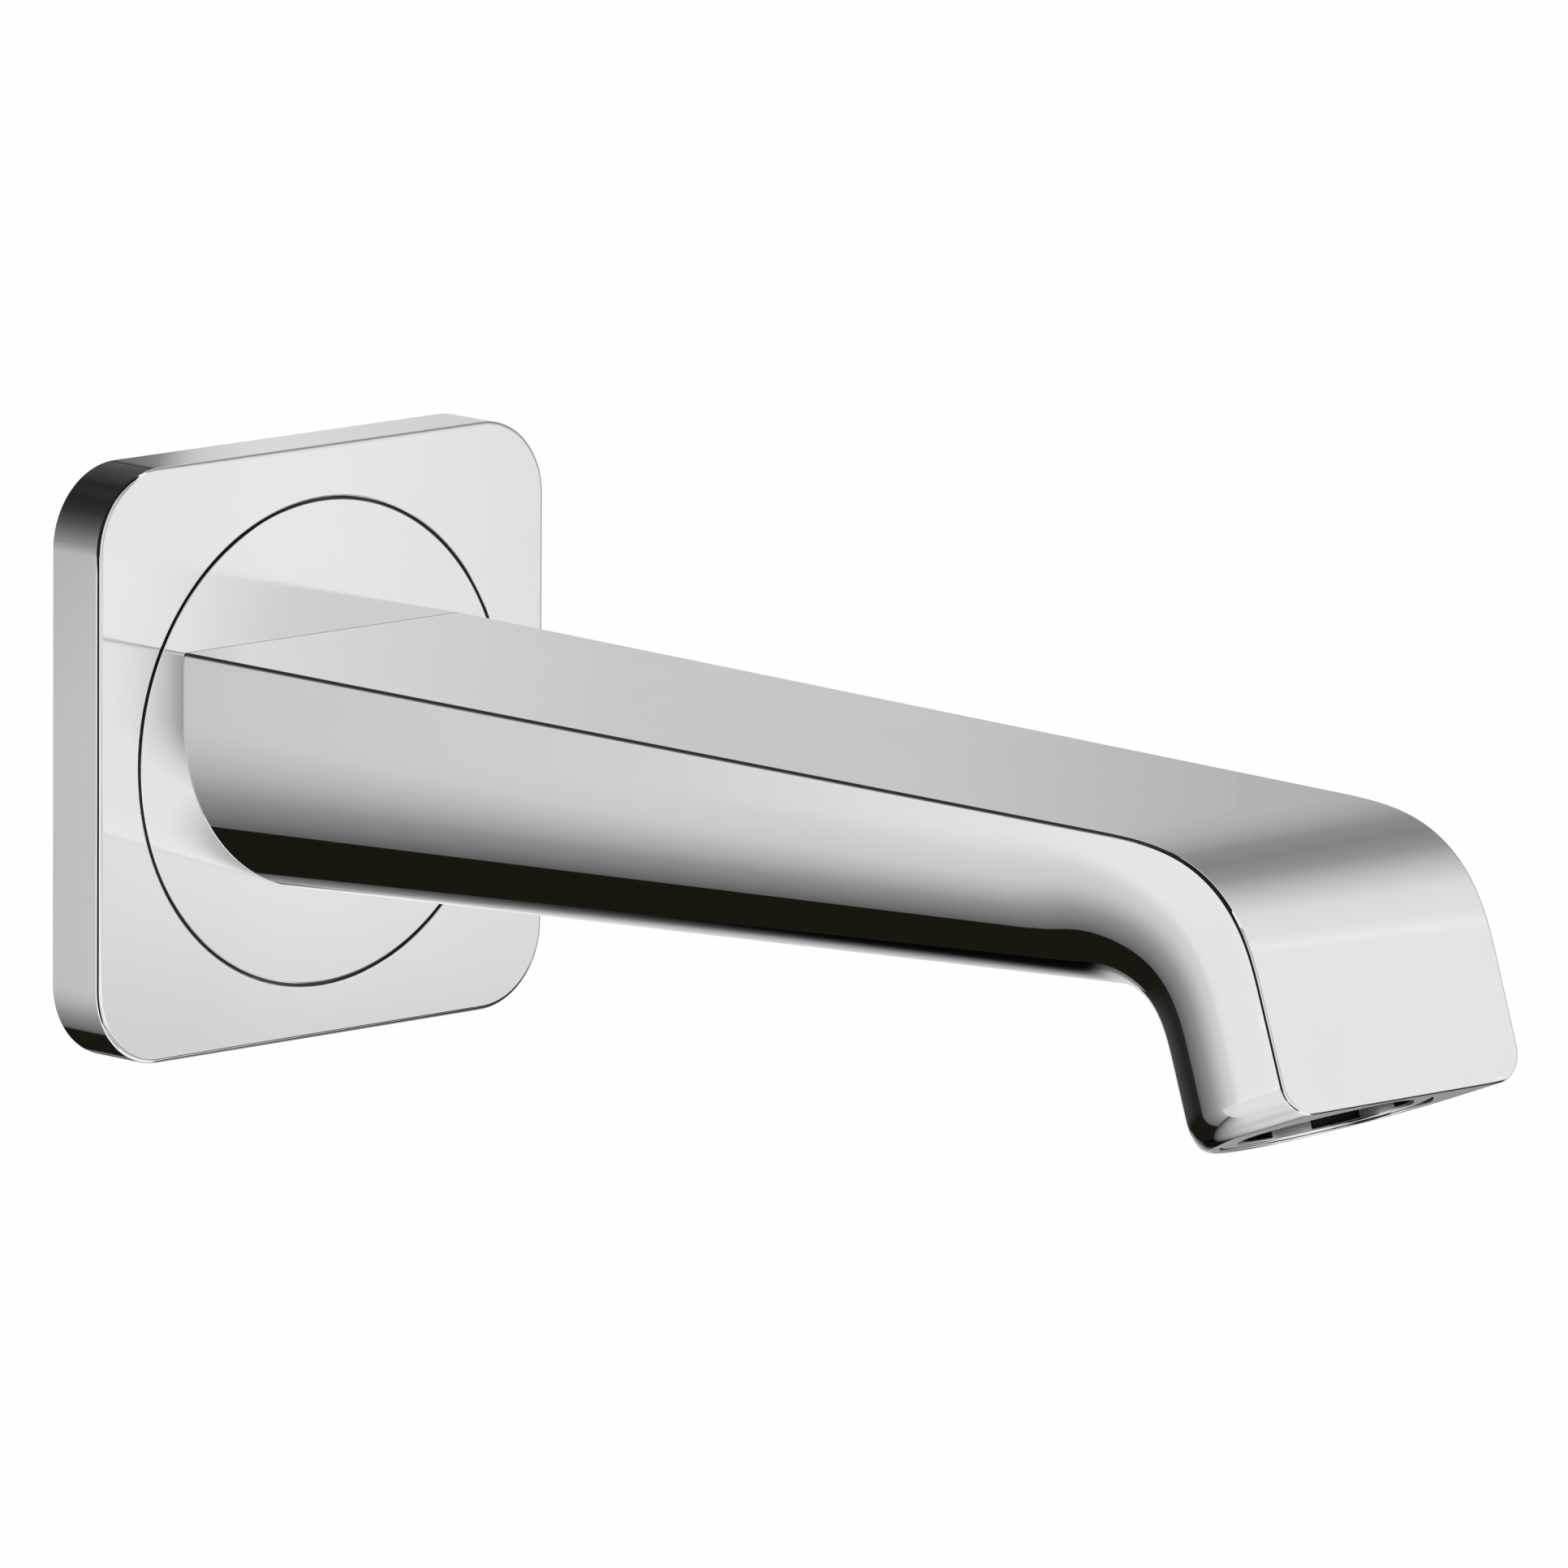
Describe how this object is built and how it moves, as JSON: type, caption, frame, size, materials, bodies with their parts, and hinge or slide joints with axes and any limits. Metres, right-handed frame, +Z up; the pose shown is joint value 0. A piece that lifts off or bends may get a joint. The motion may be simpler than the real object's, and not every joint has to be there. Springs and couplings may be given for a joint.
{
  "type": "bath spout",
  "caption": "Wall-mounted bath spout in polished chrome: a tapered arm of U section, bent down to an aerator, on a round disc set flush in a square wall plate.",
  "frame": {"origin": "on the axis of the wall thread, in the plane of the finished wall", "axes": "+Z up, +Y into the wall along the wall thread, the spout reaches out along -Y, +X to the right as seen from in front"},
  "size_m": [0.07, 0.2017, 0.07],
  "materials": {
    "chrome_plate": "polished",
    "turned_brass": "turned",
    "soft_gasket": "matt, closed-cell",
    "seal_rubber": "matt, moulded",
    "spring_steel": "oiled, blanked",
    "stainless_steel": "bright",
    "aerator_plastic": "moulded",
    "strainer_plastic": "moulded"
  },
  "bodies": {
    "root": {"spout_body": "chrome_plate", "escutcheon_plate": "chrome_plate", "cover_disc": "chrome_plate", "aerator_housing": "chrome_plate", "wall_nipple": "turned_brass", "wall_seal": "soft_gasket", "disc_o_ring": "seal_rubber", "nipple_front_o_ring": "seal_rubber", "nipple_rear_o_ring": "seal_rubber", "aerator_seal": "seal_rubber", "retaining_ring": "spring_steel", "set_screw": "stainless_steel", "mesh_screen": "stainless_steel", "flow_straightener": "aerator_plastic", "jet_plate": "aerator_plastic", "inlet_strainer": "strainer_plastic"}
  },
  "joints": []
}
